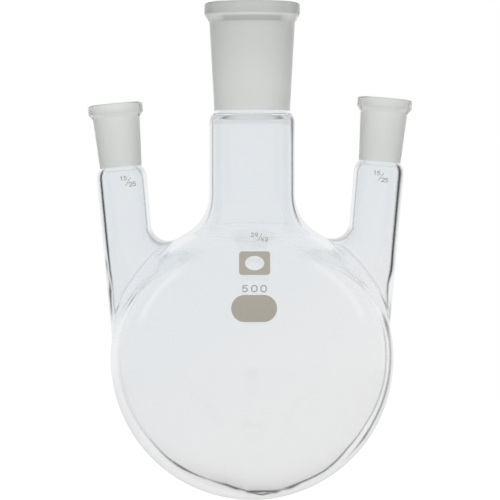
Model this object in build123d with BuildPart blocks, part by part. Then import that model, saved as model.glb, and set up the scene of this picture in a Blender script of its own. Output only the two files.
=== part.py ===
"""Three neck round bottom flask, 500 ml, blown in borosilicate glass, with the enamel spot it is marked on.

Millimetres, +Z up. The origin is the bulb's lowest point, on the axis of the centre neck.
"""

import os
from dataclasses import dataclass
from math import cos, radians, sin

from build123d import *

# Bulb: 500 ml inside a wall that is thicker than the necks' own
bulb_r = 53.25
bulb_wall = 2.9

# Ground sockets are 1 in 10 cones, known by the mouth's diameter and the ground length
taper = 1 / 10
lip_bevel = 0.5
past_rim = 5.0  # how far the hollow runs on above a rim, so that the mouth is cut clean
shoulder_lead = 0.6  # share of the wall by which the outside turns into the shoulder before the bore does
tuck_r = 0.8  # tight corner where the socket meets the shoulder


@dataclass
class Neck:
    """One neck's own sizes. Depths count down from its rim, and its foot is level with the bulb's centre."""

    foot_x: float
    lean: float  # degrees from upright, towards +X
    reach: float  # length from the foot to the rim
    mouth_r: float  # socket's radius at the rim
    ground: float  # length of the ground cone
    socket_wall: float  # just under the bead, from where it goes over to waist_wall
    waist_wall: float
    bead_r: float
    bead_h: float  # straight side of the bead
    bead_slope: float  # height of the slope under it
    bead_round: float
    shoulder: float  # height over which the socket swells to the tube
    shoulder_r: float
    tube_r: float
    foot_r: float  # tube's outer radius at the foot, which is inside the bulb
    tube_wall: float
    foot_wall: float
    melt_r: float  # of the melted corner outside, where the neck joins the bulb

    @property
    def plane(self):
        """The plane of the neck's half-profile: x backwards from its axis, y up along it, 0 at the rim."""
        tilt = radians(self.lean)
        rim = (self.foot_x + self.reach * sin(tilt), 0, bulb_r + self.reach * cos(tilt))
        return Plane(rim, x_dir=(0, 1, 0), z_dir=(cos(tilt), 0, -sin(tilt)))

    @property
    def inner_melt_r(self):
        """The melted corner inside runs round the same bend as the outside, one wall further out."""
        return self.melt_r + (bulb_wall + self.tube_wall) / 2

    def socket_r(self, depth):
        """The ground cone's radius at a depth."""
        return self.mouth_r - depth * taper / 2

    def outside(self):
        """The corners of the glass's outside, from the rim to the foot, and how each is rounded."""
        under_bead = self.bead_h + self.bead_slope
        waist = self.ground - shoulder_lead * self.waist_wall
        return (
            (0, 0),
            (self.bead_r, 0),
            (self.bead_r, -self.bead_h),
            (self.socket_r(under_bead) + self.socket_wall, -under_bead),
            (self.socket_r(waist) + self.waist_wall, -waist),
            (self.tube_r, -waist - self.shoulder),
            (self.foot_r, -self.reach),
            (0, -self.reach),
        ), (self.bead_round, self.bead_round, self.bead_round, tuck_r, self.shoulder_r, 0)

    def bore(self):
        """The corners of the way through, from above the rim to the foot, and how each is rounded."""
        return (
            (0, past_rim),
            (self.mouth_r + lip_bevel, past_rim),
            (self.mouth_r + lip_bevel, 0),
            (self.socket_r(lip_bevel), -lip_bevel),
            (self.socket_r(self.ground), -self.ground),
            (self.tube_r - self.tube_wall, -self.ground - self.shoulder),
            (self.foot_r - self.foot_wall, -self.reach),
            (0, -self.reach),
        ), (0, 0, 0, tuck_r + self.waist_wall, self.shoulder_r - self.waist_wall, 0)


centre_neck = Neck(
    foot_x=0,
    lean=0,
    reach=133.85,
    mouth_r=29.2 / 2,
    ground=42,
    socket_wall=1.9,
    waist_wall=1.7,
    bead_r=18.0,
    bead_h=4.4,
    bead_slope=3.0,
    bead_round=1.2,
    shoulder=2.2,
    shoulder_r=6.0,
    tube_r=16.1,
    foot_r=16.1,
    tube_wall=1.2,
    foot_wall=1.2,
    melt_r=17.0,
)
side_size = dict(
    mouth_r=15.0 / 2,
    ground=25,
    socket_wall=1.6,
    waist_wall=1.6,
    bead_r=10.3,
    bead_h=3.5,
    bead_slope=1.9,
    bead_round=0.8,
    shoulder=2.0,
    shoulder_r=6.0,
    tube_r=9.45,
    foot_r=9.2,
    tube_wall=1.8,
    foot_wall=2.4,
    melt_r=6.5,
)
# The side necks are set by hand in the flame, so their place, lean and length are not quite the same
left_inset = 10.48  # from the bulb's widest line in to the neck's axis
right_inset = 11.64
left_neck = Neck(foot_x=left_inset - bulb_r, lean=-5.3, reach=96.16, **side_size)
right_neck = Neck(foot_x=bulb_r - right_inset, lean=4.95, reach=98.19, **side_size)

# The enamel spot on the bulb's front: an oblong with round ends
enamel = 0.12
spot_w = 16.7
spot_h = 9.8
spot_x = 0.7
spot_rise = 19.5  # of its middle over the bulb's


def with_necks(ball_r, profile, melt):
    """A ball with the three necks turned from their half-profiles and melted into it."""
    with BuildPart() as form:
        with Locations((0, 0, bulb_r)):
            # the ball's seam is at the back, where no neck cuts it
            Sphere(ball_r, rotation=(0, 0, 90))
        for neck in (centre_neck, left_neck, right_neck):
            corners, rounding = profile(neck)
            with BuildSketch(neck.plane):
                with BuildLine():
                    FilletPolyline(*corners, radius=rounding)
                    Line(corners[-1], corners[0])
                make_face()
            revolve(axis=Axis(neck.plane.origin, neck.plane.y_dir))
            junction = form.edges(Select.NEW).filter_by(lambda edge: edge.is_closed)
            fillet(junction, radius=melt(neck))
    return form.part


with BuildPart() as flask:
    add(with_necks(bulb_r, Neck.outside, lambda neck: neck.melt_r))
    add(with_necks(bulb_r - bulb_wall, Neck.bore, lambda neck: neck.inner_melt_r), mode=Mode.SUBTRACT)

with BuildPart() as marking_spot:
    with Locations((0, 0, bulb_r)):
        Sphere(bulb_r + enamel, rotation=(0, 0, 90))
        Sphere(bulb_r, rotation=(0, 0, 90), mode=Mode.SUBTRACT)
    with BuildSketch(Plane.XZ):
        with Locations((spot_x, bulb_r + spot_rise)):
            SlotOverall(spot_w, spot_h)
    extrude(amount=bulb_r + enamel, mode=Mode.INTERSECT)

os.makedirs("parts", exist_ok=True)
flask.part.label = "flask"
export_step(flask.part, "parts/flask.step")
marking_spot.part.label = "marking_spot"
export_step(marking_spot.part, "parts/marking_spot.step")
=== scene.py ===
"""The three neck flask in blown glass, with ground sockets and enamel print, over a plain white floor."""

import math

import bmesh
import bpy
import numpy as np
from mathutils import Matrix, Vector


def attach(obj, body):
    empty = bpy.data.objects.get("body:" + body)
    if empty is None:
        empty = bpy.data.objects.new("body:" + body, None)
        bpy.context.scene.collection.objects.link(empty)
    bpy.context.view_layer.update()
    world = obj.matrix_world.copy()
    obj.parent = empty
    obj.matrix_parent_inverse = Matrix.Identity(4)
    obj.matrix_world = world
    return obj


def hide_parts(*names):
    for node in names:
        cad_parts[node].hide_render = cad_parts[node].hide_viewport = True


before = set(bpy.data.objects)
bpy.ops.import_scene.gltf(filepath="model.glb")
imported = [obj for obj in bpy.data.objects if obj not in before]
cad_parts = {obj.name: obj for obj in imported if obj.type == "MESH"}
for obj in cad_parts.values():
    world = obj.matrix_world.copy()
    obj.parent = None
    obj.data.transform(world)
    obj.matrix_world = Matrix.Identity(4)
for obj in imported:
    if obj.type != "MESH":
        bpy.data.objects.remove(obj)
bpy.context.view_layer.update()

MM = 0.001

# ---------------------------------------------------------------- sizes, in millimetres, as in the CAD

BULB_R, BULB_WALL = 53.25, 2.9
BULB = np.array([0.0, 0.0, BULB_R])
TAPER, BEVEL, LEAD, TUCK = 1 / 10, 0.5, 0.6, 0.8

# how finely the mesh follows the form
ARC_STEP, RUN_STEP, MAX_TURN, MIN_GAP, MELT_STEPS, PATCH_STEP = 0.6, 2.0, 0.2, 0.02, 40, 1.6
SHOULDER_END = 0.75  # of the shoulder's rounding, from its corner down to where the melt's rings take over
FRONT_BACK = np.array([0, 1.0, 0])


class Neck:
    """A neck's sizes, and its axis from the bulb up to the rim."""

    def __init__(self, foot_x, lean, reach, segments, **size):
        self.__dict__.update(size)
        self.lean, self.reach, self.segments = math.radians(lean), reach, segments
        s, c = math.sin(self.lean), math.cos(self.lean)
        self.axis = np.array([s, 0, c])
        self.across = np.array([c, 0, -s])
        self.rim = np.array([foot_x + reach * s, 0, BULB_R + reach * c])

    def socket_r(self, depth):
        return self.mouth_r - depth * TAPER / 2


centre = Neck(
    0, 0, 133.85, 128, mouth_r=14.6, ground=42, socket_wall=1.9, waist_wall=1.7, bead_r=18.0, bead_h=4.4,
    bead_slope=3.0, bead_round=1.2, shoulder=2.2, shoulder_r=6.0, tube_r=16.1, foot_r=16.1, tube_wall=1.2,
    foot_wall=1.2, melt_r=17.0,
)
SIDE = dict(
    mouth_r=7.5, ground=25, socket_wall=1.6, waist_wall=1.6, bead_r=10.3, bead_h=3.5, bead_slope=1.9,
    bead_round=0.8, shoulder=2.0, shoulder_r=6.0, tube_r=9.45, foot_r=9.2, tube_wall=1.8, foot_wall=2.4,
    melt_r=6.5,
)
left = Neck(10.48 - BULB_R, -5.3, 96.16, 88, **SIDE)
right = Neck(BULB_R - 11.64, 4.95, 98.19, 88, **SIDE)
NECKS = (centre, left, right)

# ---------------------------------------------------------------- the glass


def rounded(corners, radii):
    """Points and left-hand normals along a line through the corners, with the inner corners rounded."""
    pts, nrm = [], []
    p = [np.array(c, float) for c in corners]

    def run(a, b):
        d = b - a
        n = np.array([-d[1], d[0]]) / np.linalg.norm(d)
        count = max(1, int(math.ceil(np.linalg.norm(d) / RUN_STEP)))
        for i in range(count + 1):
            pts.append(a + d * i / count)
            nrm.append(n)

    start = p[0]
    for i in range(1, len(p) - 1):
        u = (p[i - 1] - p[i]) / np.linalg.norm(p[i - 1] - p[i])
        v = (p[i + 1] - p[i]) / np.linalg.norm(p[i + 1] - p[i])
        half = math.acos(max(-1, min(1, float(u @ v)))) / 2
        back = radii[i - 1] / math.tan(half)
        t1, t2 = p[i] + u * back, p[i] + v * back
        mid = p[i] + (u + v) / np.linalg.norm(u + v) * radii[i - 1] / math.sin(half)
        run(start, t1)
        turn = math.pi - 2 * half
        count = max(3, int(math.ceil(turn * radii[i - 1] / ARC_STEP)), int(turn / MAX_TURN))
        a0 = t1 - mid
        sign = math.copysign(1, u[1] * v[0] - u[0] * v[1])
        side = 1 if float(nrm[-1] @ a0) > 0 else -1
        for k in range(1, count):
            a = sign * turn * k / count
            c, s = math.cos(a), math.sin(a)
            q = np.array([a0[0] * c - a0[1] * s, a0[0] * s + a0[1] * c])
            pts.append(mid + q)
            nrm.append(side * q / radii[i - 1])
        start = t2
    run(start, p[-1])
    return np.array(pts), np.array(nrm)


def neck_rings(n):
    """The neck's rings, from its join with the bulb outside, over the rim and down to its join inside."""
    under = n.bead_h + n.bead_slope
    waist = n.ground - LEAD * n.waist_wall
    top_out = waist + n.shoulder + SHOULDER_END * n.shoulder_r
    top_in = n.ground + n.shoulder + SHOULDER_END * n.shoulder_r

    def tube(depth, r_top, r_foot, d_top):
        return r_top + (r_foot - r_top) * (depth - d_top) / (n.reach - d_top)

    bore_r, bore_foot = n.tube_r - n.tube_wall, n.foot_r - n.foot_wall
    d_out, d_in = waist + n.shoulder, n.ground + n.shoulder
    corners = [
        (tube(top_out, n.tube_r, n.foot_r, d_out), -top_out),
        (n.tube_r, -d_out),
        (n.socket_r(waist) + n.waist_wall, -waist),
        (n.socket_r(under) + n.socket_wall, -under),
        (n.bead_r, -n.bead_h),
        (n.bead_r, 0),
        (n.mouth_r + BEVEL, 0),
        (n.socket_r(BEVEL), -BEVEL),
        (n.socket_r(n.ground), -n.ground),
        (bore_r, -d_in),
        (tube(top_in, bore_r, bore_foot, d_in), -top_in),
    ]
    radii = [n.shoulder_r, TUCK, n.bead_round, n.bead_round, n.bead_round, 0.2, 0.2, TUCK + n.waist_wall,
             n.shoulder_r - n.waist_wall]
    pts, nrm = rounded(corners, radii)
    keep = np.r_[True, np.linalg.norm(np.diff(pts, axis=0), axis=1) > MIN_GAP]
    pts, nrm = pts[keep], nrm[keep]
    nrm = -nrm if nrm[0][0] < 0 else nrm
    phi = np.arange(n.segments) * 2 * math.pi / n.segments
    e = np.cos(phi)[:, None] * n.across + np.sin(phi)[:, None] * FRONT_BACK

    def place(r, t):
        return n.rim + t * n.axis + r * e

    body = [place(r, t) for r, t in pts]
    body_n = [nr * e + nt * n.axis for nr, nt in nrm]
    ground = [n.socket_r(-t) + 0.05 > r and -n.ground <= t <= -0.3 for r, t in pts]

    def melt(r_top, r_foot, d_top, ball_r, melt_r, top, side):
        """Rings from the tube down to the ball, by way of the hollow that a rolling ball would leave."""
        k = (r_top - r_foot) / (n.reach - d_top)
        slant = math.sqrt(1 + k * k)
        a = n.rim + (r_top + d_top * k + melt_r * slant) * e - BULB
        b = n.axis + k * e
        bb, ab = (b * b).sum(1), (a * b).sum(1)
        cc = (a * a).sum(1) - (ball_r + melt_r) ** 2
        t = (-ab + np.sqrt(ab * ab - bb * cc)) / bb
        mid = a + t[:, None] * b
        out = (e - k * n.axis) / slant
        to_ball = mid / np.linalg.norm(mid, axis=1)[:, None]
        mid = mid + BULB
        first = mid - melt_r * out
        start = place(r_top + (d_top - top) * k, -top)
        gap = np.linalg.norm(first - start, axis=1).max()
        count = int(math.ceil(gap / RUN_STEP))
        rings, normals = [], []
        for i in range(1, count + 1):
            rings.append(start + (first - start) * i / count)
            normals.append(side * out)
        turn = np.arccos(np.clip((out * to_ball).sum(1), -1, 1))[:, None]
        for i in range(1, MELT_STEPS + 1):
            s = i / MELT_STEPS
            d = (np.sin((1 - s) * turn) * out + np.sin(s * turn) * to_ball) / np.sin(turn)
            rings.append(mid - melt_r * d)
            normals.append(side * d)
        return rings, normals

    o_r, o_n = melt(n.tube_r, n.foot_r, d_out, BULB_R, n.melt_r, top_out, 1)
    melt_in = n.melt_r + (BULB_WALL + n.tube_wall) / 2
    i_r, i_n = melt(bore_r, bore_foot, d_in, BULB_R - BULB_WALL, melt_in, top_in, -1)
    rings = o_r[::-1] + body + i_r
    normals = o_n[::-1] + body_n + i_n
    marks = [0] * len(o_r) + [1 if g else 0 for g in ground] + [0] * len(i_r)
    # the inside starts at the first ring over the rim that is by the bore
    over_rim = (i for i, (r, t) in enumerate(pts) if i > 10 and t > -BEVEL and r < n.mouth_r + 0.3)
    inner_from = len(o_r) + next(over_rim)
    return np.array(rings), np.array(normals), marks, inner_from


# Seen from outside, the wall's colour gets a painted dark line, painted shade, where the sight line just
# grazes the inside of the glass.
# Each entry is the angle up from the bulb's lowest point, in degrees, the line's distance from the bulb's
# middle, its darkness and its half width, in millimetres. Blown glass is uneven, so the line wanders and
# comes and goes.
INNER_RIGHT = ((0, 50.2, 0.96, 0.78), (5, 50.2, 0.93, 0.52), (10, 50.9, 0.96, 0.88), (13, 50.6, 0.60, 0.49),
               (17, 50.6, 0.96, 0.78), (22, 50.1, 0.80, 0.45), (33, 50.3, 0.80, 0.43), (40, 49.9, 0.75, 0.43),
               (47, 49.3, 0.65, 0.39), (60, 49.3, 0.45, 0.33), (80, 50.3, 0.40, 0.42),
               (100, 50.6, 0.38, 0.42), (110, 50.6, 0, 0.42))
INNER_LEFT = ((0, 50.2, 0.96, 0.78), (2, 50.3, 0.85, 0.57), (4, 49.5, 0.60, 0.49), (7, 49.3, 0.93, 0.60),
              (12, 48.5, 0.88, 0.54), (20, 48.4, 0.45, 0.40), (26, 48.6, 0.70, 0.43), (33, 48.9, 0.92, 0.54),
              (40, 49.1, 0.70, 0.43), (47, 49.0, 0.45, 0.42), (55, 49.1, 0.25, 0.55), (80, 50.0, 0.12, 0.83),
              (100, 50.3, 0.06, 0.83), (115, 50.3, 0, 0.83))
OUTER_RIGHT = ((0, 50.6, 0.90, 0.3), (4, 51.4, 0.95, 0.45), (7, 51.2, 0.92, 0.4), (12, 50.8, 0, 0.3),
               (40, 51.8, 0, 0.3), (48, 51.6, 0.40, 0.3), (55, 51.6, 0.90, 0.42), (62, 51.5, 0.70, 0.4),
               (80, 51.9, 0.70, 0.5), (98, 52.2, 0.66, 0.5), (105, 52.2, 0.97, 0.75), (108, 52.0, 0.60, 0.5),
               (111, 51.8, 0, 0.3))
OUTER_LEFT = ((0, 50.6, 0.90, 0.3), (2, 50.4, 0.50, 0.3), (4, 50.2, 0, 0.3), (180, 50.2, 0, 0.3))

# The same painted dark line on the far sides of the side necks: the height, the line's distance inside the
# outline, its darkness and half width, then the same for the fainter painted line outside it.
FAR_RIGHT = (
    (64, 1.65, 0, 0.45, 0.6, 0, 0.25),
    (66, 1.65, 0.60, 0.45, 0.6, 0, 0.25),
    (67.5, 1.4, 0.25, 0.4, 0.5, 0.3, 0.35),
    (69, 1.35, 0.36, 0.45, 0.4, 0.4, 0.35),
    (72, 1.5, 0.50, 0.5, 0.6, 0.5, 0.35),
    (75, 1.84, 0.50, 0.5, 0.7, 0.1, 0.3),
    (78.7, 2.18, 0.70, 0.45, 0.7, 0, 0.25),
    (81.7, 2.2, 0.75, 0.45, 0.7, 0, 0.25),
    (84, 1.8, 0.95, 0.6, 0.7, 0, 0.25),
    (86.3, 1.42, 1, 0.7, 0.7, 0, 0.25),
    (89.3, 1.42, 1, 0.7, 0.7, 0, 0.25),
    (93, 1.5, 1, 0.66, 0.7, 0, 0.25),
    (115, 1.5, 1, 0.74, 0.7, 0, 0.25),
    (124, 1.45, 1, 0.84, 0.7, 0, 0.25),
)
FAR_LEFT = (
    (66, 2.0, 0, 0.4, 0.6, 0, 0.4),
    (69, 1.96, 0.28, 0.4, 0.6, 0.3, 0.4),
    (72, 1.92, 0.38, 0.4, 0.8, 0.75, 0.42),
    (75, 1.88, 0.40, 0.4, 0.83, 0.8, 0.45),
    (78.7, 2.07, 0.33, 0.4, 1.0, 1.0, 0.6),
    (81.7, 1.96, 0.55, 0.4, 1.15, 0.6, 0.35),
    (84, 1.80, 0.90, 0.45, 0.75, 0.22, 0.35),
    (86.3, 1.66, 0.85, 0.45, 0.64, 0.45, 0.4),
    (89.3, 1.69, 0.85, 0.45, 0.56, 0.8, 0.4),
    (91.5, 1.6, 0.95, 0.5, 0.5, 0, 0.3),
    (96, 1.55, 1, 0.54, 0.5, 0, 0.3),
)


def along(table, place):
    """The table's columns at the places that its first column gives."""
    t = np.array(table, float)
    return [np.interp(place, t[:, 0], t[:, k]) for k in range(1, t.shape[1])]


def bulb_lines(points):
    """Both painted dark lines at points on the bulb, each as (place, darkness, width), and the painted shade
    beside them.
    """
    d = points - BULB
    angle = np.degrees(np.arctan2(np.abs(d[:, 0]), -d[:, 2]))
    share = np.clip(0.5 + d[:, 0], 0, 1)
    out = []
    for right_table, left_table in ((INNER_RIGHT, INNER_LEFT), (OUTER_RIGHT, OUTER_LEFT)):
        r, l = along(right_table, angle), along(left_table, angle)
        out.append([share * p + (1 - share) * q for p, q in zip(r, l)])
    shade = np.interp(angle, (0, 12, 20, 35, 50, 80, 115), (0.36, 0.33, 0.22, 0.15, 0.07, 0.04, 0))
    return out[0], out[1], shade


def centre_lines(n, side, depth, z):
    """The centre neck's painted dark line (darkness, distance inside the outline, width), its painted shade
    and its painted bands of shade.
    """
    dark = np.interp(side, (-1, -0.4, 0.4, 1), (0.5, 0.5, 0.85, 0.85)) * np.interp(z, (100, 105), (0, 1))
    wall = np.interp(side, (-0.4, 0.4), (n.tube_wall, n.tube_wall - 0.22))
    wall = wall + np.interp(z, (100, 112), (0.7, 0))
    width = np.interp(side, (-0.4, 0.4), (0.30, 0.36))
    width = width + np.clip(side * 5, 0, 1) * np.interp(z, (134, 141), (0, 0.22))
    shade = np.full(len(z), 0.05)
    bead, under = n.bead_h, n.bead_h + n.bead_slope
    band = np.interp(depth, (0, 1, bead, bead + 0.4), (0.08, 0.14, 0.17, 0))
    slope = (bead + 0.4, bead + 0.7, bead + 1.8, under - 0.4, under + 0.4)
    band -= np.interp(depth, slope, (0, 0.17, 0.42, 0.42, 0))
    # painted bands of shade that darken towards the outline: on the bead, and two where the ground part ends
    for sides, levels, depths, shares in (
        ((0.8, 0.95), (0, 0.10), (0, 1, bead - 0.4, bead), (0, 1, 1, 0)),
        ((0.6, 0.85), (0.09, 0.33), (42.2, 42.6, 44.1, 44.5), (0, 1, 1, 0)),
        ((0.6, 0.85), (0.13, 0.23), (44.5, 44.9, 45.6, 46.6), (0, 1, 0.8, 0)),
    ):
        band += np.interp(np.abs(side), sides, levels) * np.interp(depth, depths, shares)
    return dark, wall, width, shade, band


# On the saddle between a side neck and the centre neck: how far the surface has turned up, in degrees, the
# painted dark line's distance inside the outline there, its darkness, and how sharply the path of the melt's
# rolling ball bends, per millimetre, where the surface faces sideways and where it faces up.
SADDLE_TURN = (0, 45, 70, 90, 105)
SADDLE_INSET_LEFT, SADDLE_DARK_LEFT = (1.70, 1.40, 1.15, 0.65, 0.50), 0.45
SADDLE_INSET_RIGHT, SADDLE_DARK_RIGHT = (1.55, 1.10, 0.75, 0.45, 0.40), 0.37
SADDLE_CURVE_SIDE, SADDLE_CURVE_UP = 0.0625, 0.0501
# the darkness of the soft painted shade between the saddle's line and its outline
SADDLE_SOFT_SHADE = 0.22


def side_lines(n, radius, side, depth, z, turned):
    """The same for a side neck, then its second painted line of soft shade, and how far each point is on the
    saddle.
    """
    is_left = n is left
    out = -side if is_left else side
    far_wall, far_dark, far_width, far_off, far_soft_shade, far_soft = along(FAR_LEFT if is_left else FAR_RIGHT, z)
    far_side = np.clip((out + 0.3) / 0.6, 0, 1)
    saddle = np.interp(z, (91, 93), (0, 1)) * np.clip((-out - 0.5) * 4, 0, 1)
    # a millimetre across the saddle, in terms of the round tube
    tilt = np.radians(turned)
    curve = SADDLE_CURVE_SIDE * np.cos(tilt) + SADDLE_CURVE_UP * np.sin(tilt)
    mm = radius / np.clip(1 / np.maximum(curve, 0.01) - n.melt_r, 5, 60)
    inset = np.interp(turned, SADDLE_TURN, SADDLE_INSET_LEFT if is_left else SADDLE_INSET_RIGHT)
    bent = saddle * np.interp(turned, (4, 20), (0, 1))
    ending = np.interp(turned, (100, 117), (1, 0))

    dark = np.interp(out, (-1, -0.3, 0.3, 1), (0.4, 0.4, 0, 0)) * np.interp(z, (90, 94), (0.2, 1))
    dark = dark * (1 - bent) + (SADDLE_DARK_LEFT if is_left else SADDLE_DARK_RIGHT) * bent * ending
    dark += far_side * far_dark
    wall = np.interp(z, (75, 86, 92), (2.3, 2.2, 1.55)) * (1 - saddle) + inset * mm * saddle
    wall = wall * (1 - far_side) + far_wall * far_side
    width = (0.34 + (far_width - 0.34) * np.clip(out, 0, 1)) * (1 - bent) + 0.4 * mm * bent
    shade = np.full(len(z), 0.04)
    soft_shade = np.where(out > 0, far_side * far_soft_shade, SADDLE_SOFT_SHADE * bent * ending)
    soft_shade_at = radius - np.where(out > 0, far_off, 0.7 * inset * mm)
    soft_shade_width = np.where(out > 0, far_soft, 0.55 * inset * mm + 0.1)
    bead, under = n.bead_h, n.bead_h + n.bead_slope
    low = 0.02 if is_left else 0.07
    depths = (0, 0.7, bead - 0.5, bead, under - 0.5, under + 0.1)
    band = -np.interp(depth, depths, (0.08, low, low, 0.17, 0.17, 0))
    return dark, wall, width, shade, band, soft_shade, soft_shade_at, soft_shade_width, saddle


def neck_lines(n, rings, normals, inner_from):
    """A row for each of a neck's points: radius, both painted dark lines, the painted shade beside the first,
    and the painted bands of shade.
    """
    p, nrm = rings.reshape(-1, 3), normals.reshape(-1, 3)
    rel = p - n.rim
    depth = -(rel @ n.axis)
    off_axis = rel + depth[:, None] * n.axis
    radius = np.linalg.norm(off_axis, axis=1)
    outward = (nrm * off_axis).sum(1) / np.maximum(radius, 1)
    flare = np.clip(outward, 0.35, 1)
    side = np.clip((rel @ n.across) / np.maximum(radius, 1), -1, 1)
    z = p[:, 2]
    if n is centre:
        past_ground = -0.3
        dark, wall, width, shade, band = centre_lines(n, side, depth, z)
        soft_shade, soft_shade_at, soft_shade_width, saddle = np.zeros((4, len(p)))
    else:
        past_ground = 1.2
        turned = np.degrees(np.arctan2(nrm @ n.axis, outward))
        found = side_lines(n, radius, side, depth, z, turned)
        dark, wall, width, shade, band, soft_shade, soft_shade_at, soft_shade_width, saddle = found
    from_top = np.clip((depth - n.ground + past_ground) / 1.5, 0, 1)
    # where the neck melts into the bulb, only its outline and the saddle have the painted line
    on_shoulder = depth < n.ground + n.shoulder + n.shoulder_r
    melted = np.clip((0.98 - flare) / 0.08, 0, 1) * np.clip((0.93 - np.abs(side)) / 0.1, 0, 1)
    melted = np.where(on_shoulder, 0, melted) * (1 - saddle)
    # the shoulder under the socket leans, so there the same distance inside the outline is another angle
    leaning = np.where(on_shoulder, flare, 1)
    wall = radius * (1 - np.sqrt(1 - leaning**2 * (1 - (1 - wall / np.maximum(radius, 3)) ** 2)))
    width = width * leaning**2
    dark, shade, soft_shade = dark * from_top * (1 - melted), shade * from_top * (1 - melted), soft_shade * (1 - melted)
    table = np.c_[radius, radius - wall, dark, width, soft_shade_at, soft_shade, soft_shade_width, shade, band]
    row = np.repeat(np.arange(len(rings)), rings.shape[1])
    return table * (row < inner_from)[:, None]


def inside_loop(points, loop):
    """Which points on the ball are inside a loop on it, seen from outside over the loop's middle."""
    c = loop.mean(0)
    c = c / np.linalg.norm(c)
    u = np.cross(c, [0, 1, 0])
    u /= np.linalg.norm(u)
    v = np.cross(c, u)

    def flat(q):
        q = q / np.linalg.norm(q, axis=1)[:, None]
        w = q @ c
        return np.c_[q @ u, q @ v] / (1 + w)[:, None], w

    poly, _ = flat(loop)
    p, w = flat(points)
    a, b = poly, np.roll(poly, -1, 0)
    hit = np.zeros(len(p), bool)
    for (x0, y0), (x1, y1) in zip(a, b):
        cross = (y0 > p[:, 1]) != (y1 > p[:, 1])
        with np.errstate(divide="ignore", invalid="ignore"):
            x = x0 + (p[:, 1] - y0) * (x1 - x0) / (y1 - y0)
        hit ^= cross & (p[:, 0] < x)
    return hit & (w > -0.5)


def ball_patch(ball_r, loops):
    """Triangles over the ball outside the loops. The loops' points come first in its list of points."""
    count = int(4 * math.pi * ball_r**2 / (0.866 * PATCH_STEP**2))
    i = np.arange(count) + 0.5
    z = 1 - 2 * i / count
    a = i * math.pi * (3 - math.sqrt(5))
    r = np.sqrt(1 - z * z)
    free = ball_r * np.c_[r * np.cos(a), r * np.sin(a), -z]
    for loop in loops:
        free = free[~inside_loop(free, loop)]
        near = np.full(len(free), np.inf)
        for q in loop:
            near = np.minimum(near, np.linalg.norm(free - q, axis=1))
        free = free[near > 0.62 * PATCH_STEP]
    points = np.vstack([*loops, free])
    bm = bmesh.new()
    index = bm.verts.layers.int.new("index")
    for k, q in enumerate(points):
        bm.verts.new(Vector(q))[index] = k
    bmesh.ops.convex_hull(bm, input=bm.verts)
    bmesh.ops.triangulate(bm, faces=bm.faces)
    faces = np.array([[v[index] for v in f.verts] for f in bm.faces if len(f.verts) == 3])
    bm.free()
    mid = points[faces].mean(1)
    a, b, c = (points[faces[:, k]] for k in range(3))
    out = (np.cross(b - a, c - a) * mid).sum(1)
    faces[out < 0] = faces[out < 0][:, ::-1]
    for loop in loops:
        hole = inside_loop(mid, loop)
        faces, mid = faces[~hole], mid[~hole]
    return points, faces


def waves(p, seed, scales):
    """A smooth field over space, the sum of a few sine waves each way, and its gradient."""
    rng = np.random.default_rng(seed)
    value, grad = np.zeros(len(p)), np.zeros_like(p)
    for scale, height in scales:
        for _ in range(5):
            k = rng.normal(size=3)
            k = k / np.linalg.norm(k) * 2 * math.pi / scale
            phase = rng.uniform(0, 2 * math.pi)
            value += height / 5 * np.sin(p @ k + phase)
            grad += height / 5 * np.cos(p @ k + phase)[:, None] * k
    return value, grad


# The inside swells round a height given as the cosine from the bulb's top, and waves cross it, each given as
# its length and height.
SWELL_AT, SWELL_SPREAD, SWELL = -0.62, 0.28, 1.1
WAVES, WAVE_SEED, WAVE_SHARE = ((46, 0.14), (21, 0.03)), 7, 0.8
TRUE_ABOVE, WAVY_BELOW = 100, 40


def uneven(points, normals, inner):
    """The inside of blown glass is never quite true: it swells and thins, most over the bulb's lower half."""
    drop = np.clip((points[:, 2] - TRUE_ABOVE) / (WAVY_BELOW - TRUE_ABOVE), 0, 1)
    wave, slope = waves(points, WAVE_SEED, WAVES)
    flank = points - BULB
    r = np.maximum(np.linalg.norm(flank, axis=1), 1)
    polar = flank[:, 2] / r
    swell = SWELL * np.exp(-((polar - SWELL_AT) / SWELL_SPREAD) ** 2)
    g_polar = (np.array([0, 0, 1.0]) - polar[:, None] * flank / r[:, None]) / r[:, None]
    g_swell = (swell * -2 * (polar - SWELL_AT) / SWELL_SPREAD**2)[:, None] * g_polar
    on = (inner * drop)[:, None]
    rise = on[:, 0] * (wave * WAVE_SHARE + swell)
    tilt = on * (slope * WAVE_SHARE + g_swell)
    tilt -= (tilt * normals).sum(1)[:, None] * normals
    turned = normals - tilt
    return points + normals * rise[:, None], turned / np.linalg.norm(turned, axis=1)[:, None]


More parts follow.
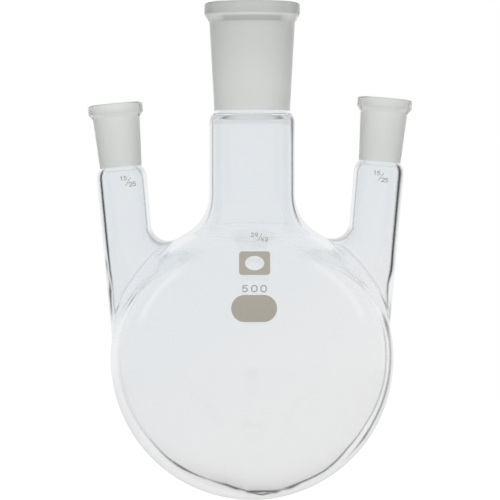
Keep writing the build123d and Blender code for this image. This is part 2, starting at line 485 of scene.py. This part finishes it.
def blown_glass():
    """The flask as one watertight mesh: three necks, with the bulb's outside and inside joined to them."""
    points, normals, faces, slots, inner, lines = [], [], [], [], [], []
    base = 0
    outside, inside = ([], []), ([], [])
    for n in NECKS:
        rings, nrm, marks, inner_from = neck_rings(n)
        m, seg = rings.shape[:2]
        points.append(rings.reshape(-1, 3))
        normals.append(nrm.reshape(-1, 3))
        inner.append(np.repeat(np.arange(m) >= inner_from, seg))
        lines.append(neck_lines(n, rings, nrm, inner_from))
        j = np.arange(seg)
        k = (j + 1) % seg
        for i in range(m - 1):
            a, b = base + i * seg, base + (i + 1) * seg
            faces += list(zip(a + j, a + k, b + k, b + j))
            slots += [1 if marks[i] and marks[i + 1] else 0] * seg
        for (loops, index), ring in ((outside, 0), (inside, m - 1)):
            loops.append(rings[ring] - BULB)
            index.append(base + ring * seg + j)
        base += m * seg
    for ball_r, (loops, index), side in ((BULB_R, outside, 1), (BULB_R - BULB_WALL, inside, -1)):
        patch, tris = ball_patch(ball_r, loops)
        known = np.concatenate(index)
        free = patch[len(known):]
        ids = np.concatenate([known, base + np.arange(len(free))])
        base += len(free)
        points.append(free + BULB)
        normals.append(side * free / ball_r)
        inner.append(np.full(len(free), side < 0))
        a, b, shade = bulb_lines(free + BULB)
        table = np.c_[np.full(len(free), BULB_R), np.transpose(a), np.transpose(b), shade, 0 * shade]
        lines.append(table * (side > 0))
        tris = ids[tris] if side > 0 else ids[tris][:, ::-1]
        faces += [tuple(t) for t in tris]
        slots += [0] * len(tris)
    points, normals = uneven(np.vstack(points), np.vstack(normals), np.concatenate(inner))

    mesh = bpy.data.meshes.new("blown_flask")
    mesh.from_pydata((points * MM).tolist(), [], [tuple(int(i) for i in f) for f in faces])
    mesh.polygons.foreach_set("material_index", slots)
    mesh.polygons.foreach_set("use_smooth", [True] * len(faces))
    mesh.update()
    mesh.normals_split_custom_set_from_vertices(normals.tolist())
    lines = np.vstack(lines)
    lines[:, 0] = np.maximum(lines[:, 0], 1)
    for name, columns in (("line_inner", (1, 2, 3)), ("line_outer", (4, 5, 6)), ("shades", (0, 7, 8))):
        layer = mesh.attributes.new(name, "FLOAT_VECTOR", "POINT")
        layer.data.foreach_set("vector", lines[:, columns].astype(np.float32).ravel())
    obj = bpy.data.objects.new("blown_flask", mesh)
    bpy.context.scene.collection.objects.link(obj)
    return obj


# ---------------------------------------------------------------- materials


def material(name):
    """A new material, its nodes and links, and its shader."""
    mat = bpy.data.materials.new(name)
    mat.use_nodes = True
    nodes, links = mat.node_tree.nodes, mat.node_tree.links
    return mat, nodes, links, nodes["Principled BSDF"]


def feed(links, socket, value):
    """Links an output to the socket, or sets the socket to a constant."""
    if isinstance(value, bpy.types.NodeSocket):
        links.new(value, socket)
    else:
        socket.default_value = value


def maths(nodes, links, operation, *values, clamp=False):
    node = nodes.new("ShaderNodeMath")
    node.operation = operation
    node.use_clamp = clamp
    for socket, value in zip(node.inputs, values):
        feed(links, socket, value)
    return node.outputs[0]


def map_range(nodes, links, value, start, end, low=0.0, high=1.0):
    node = nodes.new("ShaderNodeMapRange")
    names = ("Value", "From Min", "From Max", "To Min", "To Max")
    for name, level in zip(names, (value, start, end, low, high)):
        feed(links, node.inputs[name], level)
    return node.outputs["Result"]


def mixed(nodes, links, factor, a, b):
    node = nodes.new("ShaderNodeMix")
    node.data_type = "RGBA"
    for name, value in (("Factor", factor), ("A", a), ("B", b)):
        feed(links, node.inputs[name], value)
    return node.outputs["Result"]


def colour_ramp(nodes, links, value, first, last, between=()):
    """A colour ramp from first to last, with (place, colour) stops between."""
    node = nodes.new("ShaderNodeValToRGB")
    elements = node.color_ramp.elements
    elements[0].color, elements[1].color = (*first, 1), (*last, 1)
    for at, colour in between:
        elements.new(at).color = (*colour, 1)
    links.new(value, node.inputs["Fac"])
    return node.outputs["Color"]


def object_place(nodes, links):
    """The place in the piece's own metres, and its X, Y and Z."""
    place = nodes.new("ShaderNodeTexCoord").outputs["Object"]
    parts = nodes.new("ShaderNodeSeparateXYZ")
    links.new(place, parts.inputs[0])
    return place, parts.outputs


def facing_away(nodes):
    """0 where the surface faces the sight line and 1 where it is edge on."""
    node = nodes.new("ShaderNodeLayerWeight")
    node.inputs["Blend"].default_value = 0.5
    return node.outputs["Facing"]


def noise(nodes, links, place, scale):
    node = nodes.new("ShaderNodeTexNoise")
    node.inputs["Scale"].default_value = scale
    links.new(place, node.inputs["Vector"])
    return node


BAND_FADE = (0.86, 0.70)  # the sines between which a band that is only seen towards the middle fades
CAUGHT_DEPTH, LONG_DEPTH = 2.5, 9.5  # reflections, and bounces of every kind, before the plain glow
EDGE_SHADE_GREY = (0.23, 0.23, 0.23)


def clear_glass():
    """Glass with painted shade: its outer surface's colour darkens where the sight line grazes the inside of
    the wall.
    """
    mat, nodes, links, shader = material("clear_glass")
    shader.inputs["Transmission Weight"].default_value = 1
    shader.inputs["Roughness"].default_value = 0.0
    shader.inputs["IOR"].default_value = 1.473

    def calc(operation, *values, clamp=False):
        return maths(nodes, links, operation, *values, clamp=clamp)

    def stored(name):
        node = nodes.new("ShaderNodeAttribute")
        node.attribute_name = name
        parts = nodes.new("ShaderNodeSeparateXYZ")
        links.new(node.outputs["Vector"], parts.inputs[0])
        return parts.outputs

    def falling(value):
        return calc("POWER", math.e, calc("MULTIPLY", -1, value))

    # how far off its middle a sight line crosses the round glass, in millimetres
    cosine = calc("SUBTRACT", 1, facing_away(nodes))
    sine = calc("SQRT", calc("SUBTRACT", 1, calc("MULTIPLY", cosine, cosine), clamp=True))
    inner, outer, shades = stored("line_inner"), stored("line_outer"), stored("shades")
    off = calc("MULTIPLY", sine, shades["X"])

    def line(spec):
        u = calc("DIVIDE", calc("SUBTRACT", off, spec["X"]), calc("MAXIMUM", spec["Z"], 0.05))
        return calc("MULTIPLY", spec["Y"], falling(calc("MULTIPLY", u, u)))

    # the painted shade beside the first line reaches further towards the middle than towards the outline
    beside = calc("SUBTRACT", off, inner["X"])
    reach = calc("ADD", 0.9, calc("MULTIPLY", 1.8, calc("LESS_THAN", beside, 0)))
    soft = calc("MULTIPLY", shades["Y"], falling(calc("DIVIDE", calc("ABSOLUTE", beside), reach)))
    # a painted band of shade is all round where it is positive, and is left out near the outline where it is
    # negative
    plain = calc("MAXIMUM", shades["Z"], 0)
    fading = calc("MAXIMUM", calc("MULTIPLY", shades["Z"], -1), 0)
    fading = calc("MULTIPLY", fading, map_range(nodes, links, sine, *BAND_FADE))
    lines = calc("MAXIMUM", line(inner), line(outer))
    dark = calc("MAXIMUM", lines, calc("MAXIMUM", soft, calc("ADD", plain, fading)))
    outside = calc("SUBTRACT", 1, nodes.new("ShaderNodeNewGeometry").outputs["Backfacing"])
    dark = calc("MULTIPLY", dark, outside, clamp=True)
    # a base colour acts as its square root where light crosses the surface, so the light is squared first
    light = calc("SUBTRACT", 1, dark)
    dark = calc("SUBTRACT", 1, calc("MULTIPLY", light, light))

    # the tint is a little cooler in the necks and to the left than low in the bulb
    _, at = object_place(nodes, links)
    height = map_range(nodes, links, calc("SUBTRACT", at["Z"], calc("MULTIPLY", at["X"], 0.6)), 0.03, 0.10)
    tint = colour_ramp(nodes, links, height, (0.900, 0.902, 0.904), (0.866, 0.886, 0.902))
    links.new(mixed(nodes, links, dark, tint, (0, 0, 0, 1)), shader.inputs["Base Color"])

    # light that runs on and on inside the wall is traced no further, and there the glass shows a painted
    # glow, plain and the same everywhere
    path = nodes.new("ShaderNodeLightPath")
    caught = calc("GREATER_THAN", path.outputs["Glossy Depth"], CAUGHT_DEPTH)
    long = calc("GREATER_THAN", path.outputs["Ray Depth"], LONG_DEPTH)
    glow = nodes.new("ShaderNodeEmission")
    glow.inputs["Color"].default_value = (0.93, 0.94, 0.95, 1)
    either = nodes.new("ShaderNodeMixShader")
    links.new(calc("MAXIMUM", caught, long), either.inputs[0])
    links.new(shader.outputs[0], either.inputs[1])
    links.new(glow.outputs[0], either.inputs[2])
    links.new(either.outputs[0], nodes["Material Output"].inputs["Surface"])
    return mat


def ground_glass():
    """Frosted sockets: pale and finely grained, with painted shade that makes them greyer towards the outline
    and near the top.
    """
    mat, nodes, links, shader = material("ground_glass")
    shader.inputs["Transmission Weight"].default_value = 0.8
    shader.inputs["Roughness"].default_value = 0.9
    shader.inputs["IOR"].default_value = 1.2
    shader.inputs["Specular IOR Level"].default_value = 0.1
    place, at = object_place(nodes, links)
    grain = noise(nodes, links, place, 900)
    grain.inputs["Detail"].default_value = 3
    pale = colour_ramp(nodes, links, grain.outputs["Fac"], (0.93, 0.935, 0.90), (0.98, 0.98, 0.945))
    # painted shade: greyer where the surface turns edge on, and near the top
    stops = ((0.24, (0.12, 0.12, 0.12)), (0.43, EDGE_SHADE_GREY))
    edge = colour_ramp(nodes, links, facing_away(nodes), (0, 0, 0), EDGE_SHADE_GREY, stops)
    top = map_range(nodes, links, at["Z"], 0.158, 0.185, 0.0, 0.18)
    grey = maths(nodes, links, "ADD", edge, top)
    links.new(mixed(nodes, links, grey, pale, (0.1, 0.1, 0.09, 1)), shader.inputs["Base Color"])
    return mat


def enamel():
    """Matt grey fired-on print with a fine grain."""
    mat, nodes, links, shader = material("enamel")
    shader.inputs["Roughness"].default_value = 0.75
    place, _ = object_place(nodes, links)
    grain = noise(nodes, links, place, 1400).outputs["Fac"]
    grey = colour_ramp(nodes, links, grain, (0.345, 0.325, 0.275), (0.415, 0.395, 0.335))
    links.new(grey, shader.inputs["Base Color"])
    bump = nodes.new("ShaderNodeBump")
    bump.inputs["Strength"].default_value = 0.15
    bump.inputs["Distance"].default_value = 0.00005
    links.new(grain, bump.inputs["Height"])
    links.new(bump.outputs["Normal"], shader.inputs["Normal"])
    return mat


glass, ground, ink = clear_glass(), ground_glass(), enamel()

flask = blown_glass()
flask.data.materials.append(glass)
flask.data.materials.append(ground)
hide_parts("flask")
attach(flask, "root")

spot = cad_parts["marking_spot"]
for s in spot.material_slots:
    s.material = ink

# ---------------------------------------------------------------- the print, as thin enamel on the glass

SUNK, ENAMEL = 0.02, 0.1  # the print's underside and top over the glass
LINE_STEPS, ARC_TURN = 6, 12  # pieces in each straight stroke, and degrees to a piece in a round one

# Each figure's strokes in a box one high: points to join, or an arc's middle, radii and first and last angle
STROKES = {
    "0": ["arc 0.33 0.67 0.29 0.29 0 180", "line 0.04 0.67 0.04 0.33",
          "arc 0.33 0.33 0.29 0.29 180 360", "line 0.62 0.33 0.62 0.67"],
    "1": ["line 0.12 0.8 0.34 0.96 0.34 0.04"],
    "2": ["arc 0.33 0.68 0.27 0.28 170 -30", "line 0.565 0.545 0.05 0.05 0.62 0.05"],
    "4": ["line 0.5 0.04 0.5 0.96 0.04 0.32 0.66 0.32"],
    "5": ["line 0.56 0.96 0.14 0.96 0.09 0.53", "arc 0.31 0.34 0.28 0.29 135 -145"],
    "9": ["arc 0.33 0.66 0.28 0.29 0 360", "arc 0.05 0.66 0.56 0.64 0 -68"],
    "/": ["line 0 0 1 1"],
}


def stroke_points(text):
    """Points along a stroke, close enough together to be laid on the glass."""
    kind, *values = text.split()
    v = [float(s) for s in values]
    if kind == "line":
        corners = np.array(v).reshape(-1, 2)
        out = [corners[0]]
        for p, q in zip(corners, corners[1:]):
            out += [p + (q - p) * i / LINE_STEPS for i in range(1, LINE_STEPS + 1)]
        return np.array(out)
    cx, cy, rx, ry, a0, a1 = v
    t = np.radians(np.linspace(a0, a1, max(8, int(abs(a1 - a0) / ARC_TURN))))
    return np.c_[cx + rx * np.cos(t), cy + ry * np.sin(t)]


def on_bulb(q, rise):
    """A flat place (x, z) laid on the front of the bulb."""
    x, z = q[:, 0], q[:, 1]
    y = -np.sqrt((BULB_R + rise) ** 2 - x**2 - (z - BULB_R) ** 2)
    return np.c_[x, y, z]


def on_tube(n):
    """Lays flat places on the front of a side neck's tube."""

    def place(q, rise):
        """A flat place (along the rim, up the axis) laid on the tube."""
        x, up = q[:, 0], q[:, 1]
        top = n.ground + n.shoulder
        r = n.tube_r + (n.foot_r - n.tube_r) * (-up - n.ground - n.shoulder) / (n.reach - top) + rise
        y = -np.sqrt(r**2 - x**2)
        return n.rim + up[:, None] * n.axis + x[:, None] * n.across + y[:, None] * FRONT_BACK

    return place


def on_melt(q, rise):
    """A flat place (x, z) laid on the front of the centre neck's melted foot."""
    x, z = q[:, 0], q[:, 1]
    far = centre.tube_r + centre.melt_r
    high = math.sqrt((BULB_R + centre.melt_r) ** 2 - far**2)
    touch = BULB_R + high * BULB_R / (BULB_R + centre.melt_r)
    drop = np.clip(BULB_R + high - z, 0, None)
    r = np.where(z > touch, far - np.sqrt(np.maximum(centre.melt_r**2 - drop**2, 0)), 0) + rise
    r = np.where(z > BULB_R + high, centre.tube_r + rise, r)
    ball = np.sqrt(np.maximum((BULB_R + rise) ** 2 - (z - BULB_R) ** 2, 0))
    r = np.where(z > touch, r, ball)
    return np.c_[x, -np.sqrt(r**2 - x**2), z]


def thin_solid(outlines, place, verts, faces):
    """Adds a closed ribbon between two flat lines of points, one over the other, laid on the glass."""
    for a, b, ring in outlines:
        base, n = len(verts), len(a)
        for rise in (SUNK, ENAMEL):
            verts += [tuple(p * MM) for p in place(a, rise)]
            verts += [tuple(p * MM) for p in place(b, rise)]
        low_a, low_b, top_a, top_b = (base + k * n for k in range(4))
        last = n if ring else n - 1
        for i in range(last):
            j = (i + 1) % n
            faces.append((top_a + i, top_a + j, top_b + j, top_b + i))
            faces.append((low_b + i, low_b + j, low_a + j, low_a + i))
            faces.append((low_a + i, low_a + j, top_a + j, top_a + i))
            faces.append((top_b + i, top_b + j, low_b + j, low_b + i))
        if not ring:
            faces.append((low_b, low_a, top_a, top_b))
            e = n - 1
            faces.append((low_a + e, low_b + e, top_b + e, top_a + e))


def ribbon(points, width):
    """The two sides of a stroke, mitred at its corners, with its ends carried on by half its width."""
    p = points.copy()
    p[0] += (p[0] - p[1]) / np.linalg.norm(p[0] - p[1]) * width / 2
    p[-1] += (p[-1] - p[-2]) / np.linalg.norm(p[-1] - p[-2]) * width / 2
    step = np.diff(p, axis=0)
    step /= np.linalg.norm(step, axis=1)[:, None]
    side = np.c_[-step[:, 1], step[:, 0]]
    before, after = np.vstack([side[:1], side]), np.vstack([side, side[-1:]])
    both = before + after
    both /= np.linalg.norm(both, axis=1)[:, None]
    reach = np.minimum(1 / np.maximum((both * after).sum(1), 0.3), 1.8)
    off = both * (reach * width / 2)[:, None]
    return p + off, p - off


def printed(name, rows, place):
    """One piece of enamel from rows of (figures, left end, foot, height, pitch, stroke width, breadth)."""
    verts, faces = [], []
    for text, x, z, high, pitch, width, broad in rows:
        for k, figure in enumerate(text):
            for stroke in STROKES[figure]:
                wide = pitch if figure == "/" else high * broad
                points = stroke_points(stroke) * (wide, high) + (x + k * pitch, z)
                a, b = ribbon(points, width)
                thin_solid([(a, b, False)], place, verts, faces)
    return enamel_piece(name, verts, faces)


def enamel_piece(name, verts, faces):
    """A piece of the print that rides on the flask."""
    mesh = bpy.data.meshes.new(name)
    mesh.from_pydata(verts, [], faces)
    bm = bmesh.new()
    bm.from_mesh(mesh)
    bmesh.ops.recalc_face_normals(bm, faces=bm.faces)
    bm.to_mesh(mesh)
    bm.free()
    mesh.materials.append(ink)
    obj = bpy.data.objects.new(name, mesh)
    bpy.context.scene.collection.objects.link(obj)
    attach(obj, "root")


# a plain block with an oval in it stands where a mark would be
turn = np.linspace(0, 2 * math.pi, 144, endpoint=False) + math.pi / 144
way = np.c_[np.cos(turn), np.sin(turn)]
half, corner, mark_at = np.array([5.7, 4.3]), 1.1, np.array([0.9, 89.2])


def block_edge(w):
    """Where a line from the middle leaves a rounded block."""
    low, high = 0.0, 8.0
    for _ in range(40):
        mid = (low + high) / 2
        over = np.maximum(np.abs(w * mid) - (half - corner), 0)
        if np.linalg.norm(over) < corner and np.all(np.abs(w * mid) <= half):
            low = mid
        else:
            high = mid
    return w * low


block_verts, block_faces = [], []
block = np.array([block_edge(w) for w in way]) + mark_at
oval = way * (3.5, 2.6) + mark_at
thin_solid([(block, oval, True)], on_bulb, block_verts, block_faces)
enamel_piece("block", block_verts, block_faces)

printed("volume_figures", [("500", -3.7, 78.7, 2.45, 3.4, 0.45, 1.32)], on_bulb)
printed("centre_figures", [("29", -0.5, 98.9, 1.5, 1.5, 0.26, 1.15), ("/", 2.1, 97.4, 2.8, 1.6, 0.22, 1),
                           ("42", 3.1, 97.2, 1.5, 1.6, 0.26, 1.2)], on_melt)
printed("left_figures", [("15", -0.4, -29.2, 1.6, 1.3, 0.26, 1.15), ("/", 1.5, -31.2, 2.8, 1.9, 0.22, 1),
                         ("25", 2.7, -31.6, 1.6, 1.4, 0.26, 1.15)], on_tube(left))
printed("right_figures", [("15", -2.2, -29.2, 1.6, 1.3, 0.26, 1.15), ("/", -0.3, -31.2, 2.8, 1.9, 0.22, 1),
                          ("25", 0.9, -31.6, 1.6, 1.4, 0.26, 1.15)], on_tube(right))

# ---------------------------------------------------------------- stage, light and camera


WORLD_LEVEL = 0.85
FLOOR_Z, FLOOR_HALF = -0.09, 3
FLOOR_NEAR, FLOOR_LEVEL = 0.4, 0.6
FLOOR_FAR = 2.6
FLOOR_GREY, FLOOR_LIT = 0.5, 0.4  # the seen floor's own grey, and the glow that this grey stands in for
LAMP_AIM = Vector((0, 0, 0.09))
CAMERA_AT, CAMERA_LENS = (-0.0008, -1.4, 0.094), 267.6


def white_where_seen(nodes, links, others):
    """1 to the camera and through glass, and its own level to everything else."""
    path = nodes.new("ShaderNodeLightPath")
    seen = maths(nodes, links, "MAXIMUM", path.outputs["Is Camera Ray"], path.outputs["Is Transmission Ray"])
    return map_range(nodes, links, seen, 0.0, 1.0, others, 1.0)


def white_floor():
    """A broad white floor under the flask, which hangs clear of it."""
    bm = bmesh.new()
    bmesh.ops.create_grid(bm, x_segments=2, y_segments=2, size=FLOOR_HALF)
    mesh = bpy.data.meshes.new("floor")
    bm.to_mesh(mesh)
    bm.free()
    obj = bpy.data.objects.new("floor", mesh)
    obj.location = (0, 0, FLOOR_Z)
    bpy.context.scene.collection.objects.link(obj)
    mat, nodes, links, shader = material("floor")
    shader.inputs["Roughness"].default_value = 1
    shader.inputs["Specular IOR Level"].default_value = 0
    shader.inputs["Emission Color"].default_value = (1, 1, 1, 1)
    # seen directly, part of the floor's white is the light that falls on it
    direct = nodes.new("ShaderNodeLightPath").outputs["Is Camera Ray"]
    grey = (FLOOR_GREY, FLOOR_GREY, FLOOR_GREY, 1)
    links.new(mixed(nodes, links, direct, (0, 0, 0, 1), grey), shader.inputs["Base Color"])
    # away from the flask its level nears the world's, which softens the horizon that the glass reflects
    place, _ = object_place(nodes, links)
    length = nodes.new("ShaderNodeVectorMath")
    length.operation = "LENGTH"
    links.new(place, length.inputs[0])
    level = map_range(nodes, links, length.outputs["Value"], FLOOR_NEAR, FLOOR_FAR, FLOOR_LEVEL, WORLD_LEVEL)
    glow = maths(nodes, links, "MULTIPLY_ADD", direct, -FLOOR_LIT, white_where_seen(nodes, links, level))
    links.new(glow, shader.inputs["Emission Strength"])
    mesh.materials.append(mat)
    return obj


world = bpy.data.worlds.new("studio")
bpy.context.scene.world = world
world.use_nodes = True
wn, wl = world.node_tree.nodes, world.node_tree.links
background = wn["Background"]
background.inputs["Color"].default_value = (1, 1, 1, 1)
wl.new(white_where_seen(wn, wl, WORLD_LEVEL), background.inputs["Strength"])

floor = white_floor()


def softbox(name, at, size, watts, seen):
    """A soft light. Only a seen one shows as a reflection in the glass."""
    lamp = bpy.data.lights.new(name, "AREA")
    lamp.shape = "RECTANGLE"
    lamp.size, lamp.size_y = size
    lamp.energy = watts
    obj = bpy.data.objects.new(name, lamp)
    obj.location = at
    obj.rotation_euler = (LAMP_AIM - Vector(at)).to_track_quat("-Z", "Y").to_euler()
    obj.visible_camera = False
    obj.visible_transmission = False
    obj.visible_glossy = seen
    bpy.context.scene.collection.objects.link(obj)


softbox("softbox_left", (-0.9, -0.7, 0.8), (0.5, 0.8), 4, False)
softbox("softbox_right", (1.0, -0.5, 0.7), (0.4, 0.8), 3, False)
softbox("strip_left", (-0.80, 0.29, 0.62), (0.10, 0.55), 0.10, True)
softbox("strip_left_wide", (-0.81, 0.28, 0.62), (0.2, 0.7), 0.12, True)
softbox("strip_right", (0.78, 0.29, 0.68), (0.12, 0.65), 0.10, True)
softbox("strip_right_wide", (0.79, 0.28, 0.68), (0.22, 0.8), 0.14, True)

camera_data = bpy.data.cameras.new("camera")
camera_data.lens = CAMERA_LENS
camera_data.sensor_width = 36
camera = bpy.data.objects.new("camera", camera_data)
camera.location = CAMERA_AT
camera.rotation_euler = (math.radians(90), 0, 0)
bpy.context.scene.collection.objects.link(camera)
bpy.context.scene.camera = camera
bpy.context.scene.view_settings.view_transform = "Standard"
